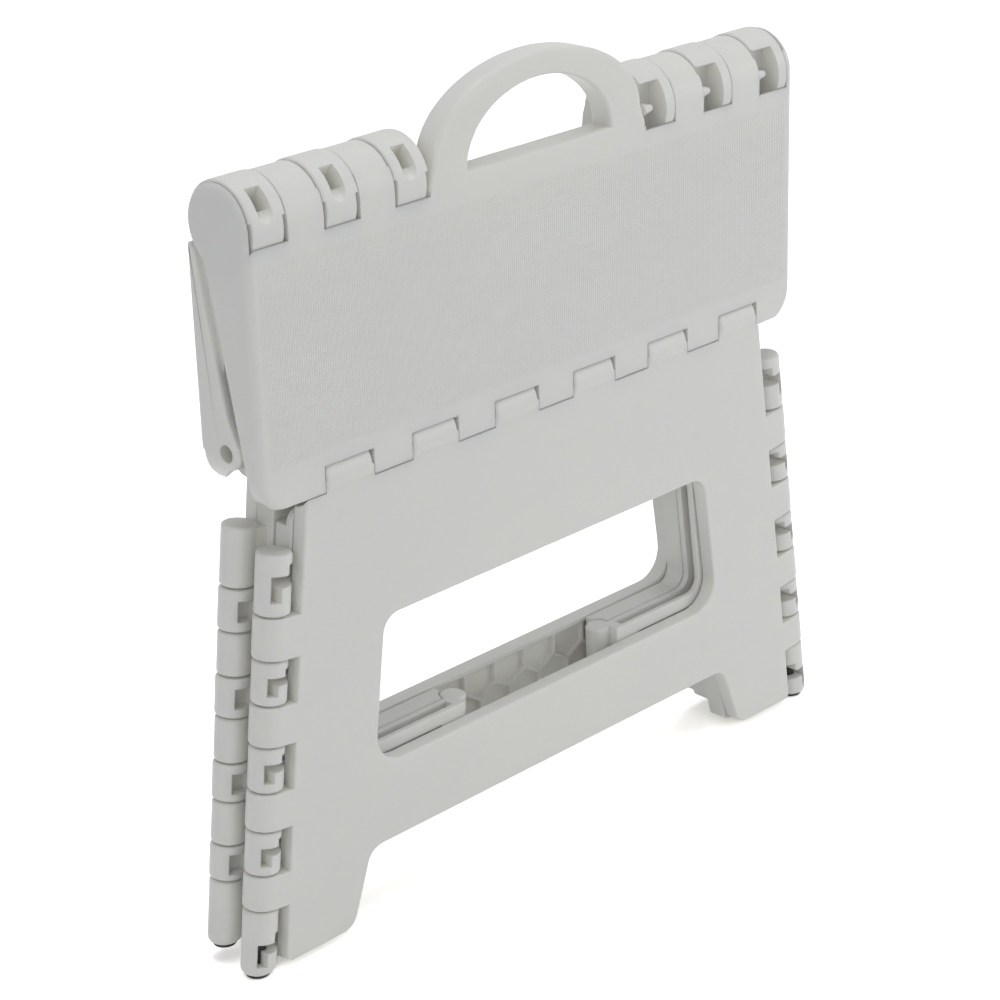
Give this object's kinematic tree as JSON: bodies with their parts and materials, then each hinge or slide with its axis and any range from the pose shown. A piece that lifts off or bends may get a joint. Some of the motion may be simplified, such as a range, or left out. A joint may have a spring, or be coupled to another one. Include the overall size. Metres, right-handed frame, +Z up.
{
  "type": "folding step stool",
  "caption": "Folding plastic step stool, stored folded flat and upright: hinged seat halves with a carry handle, hinged legs and bi-fold side panels that open together.",
  "frame": {"origin": "centre of the folded stool's footprint on the floor", "axes": "+X along the width, to the right seen from the front; the front seat face looks to -Y; +Z up"},
  "size_m": [0.328, 0.0324, 0.3235],
  "materials": {
    "body_plastic": "satin moulded polypropylene, off-white",
    "foot_rubber": "matte black"
  },
  "bodies": {
    "seat_front": {"seat_front": "body_plastic"},
    "seat_rear": {"seat_rear": "body_plastic"},
    "leg_front": {"leg_front": "body_plastic"},
    "leg_rear": {"leg_rear": "body_plastic"},
    "side_front_left": {"side_front_left": "body_plastic", "foot_front_left": "foot_rubber"},
    "side_front_right": {"side_front_right": "body_plastic", "foot_front_right": "foot_rubber"},
    "side_rear_left": {"side_rear_left": "body_plastic", "foot_rear_left": "foot_rubber"},
    "side_rear_right": {"side_rear_right": "body_plastic", "foot_rear_right": "foot_rubber"}
  },
  "joints": [
    {"name": "front_leg_hinge", "type": "hinge", "parent": "leg_front", "child": "seat_front", "pos_m": [0, -0.00925, 0.1887], "axis": [-1, 0, 0], "range_deg": [0, 84.45]},
    {"name": "top_hinge", "type": "hinge", "parent": "seat_front", "child": "seat_rear", "pos_m": [0, 0, 0.2867], "axis": [1, 0, 0], "range_deg": [0, 180]},
    {"name": "rear_leg_hinge", "type": "hinge", "parent": "seat_rear", "child": "leg_rear", "pos_m": [0, 0.00925, 0.1947], "axis": [-1, 0, 0], "range_deg": [0, 84.45]},
    {"name": "side_hinge_front_left", "type": "hinge", "parent": "leg_front", "child": "side_front_left", "pos_m": [-0.1574, -0.00925, 0], "axis": [0.125, 0, 0.9922], "range_deg": [0, 82]},
    {"name": "side_hinge_front_right", "type": "hinge", "parent": "leg_front", "child": "side_front_right", "pos_m": [0.1574, -0.00925, 0], "axis": [0.125, 0, -0.9922], "range_deg": [0, 82]},
    {"name": "side_hinge_rear_left", "type": "hinge", "parent": "leg_rear", "child": "side_rear_left", "pos_m": [-0.1574, 0.00925, 0.006], "axis": [-0.125, 0, -0.9922], "range_deg": [0, 82]},
    {"name": "side_hinge_rear_right", "type": "hinge", "parent": "leg_rear", "child": "side_rear_right", "pos_m": [0.1574, 0.00925, 0.006], "axis": [-0.125, 0, 0.9922], "range_deg": [0, 82]}
  ],
  "couplings": [
    {"joint": "top_hinge", "follows": "front_leg_hinge", "ratio": 2.1313},
    {"joint": "rear_leg_hinge", "follows": "front_leg_hinge", "ratio": 1},
    {"joint": "side_hinge_front_left", "follows": "front_leg_hinge", "ratio": 0.9709},
    {"joint": "side_hinge_front_right", "follows": "front_leg_hinge", "ratio": 0.9709},
    {"joint": "side_hinge_rear_left", "follows": "front_leg_hinge", "ratio": 0.9709},
    {"joint": "side_hinge_rear_right", "follows": "front_leg_hinge", "ratio": 0.9709}
  ]
}
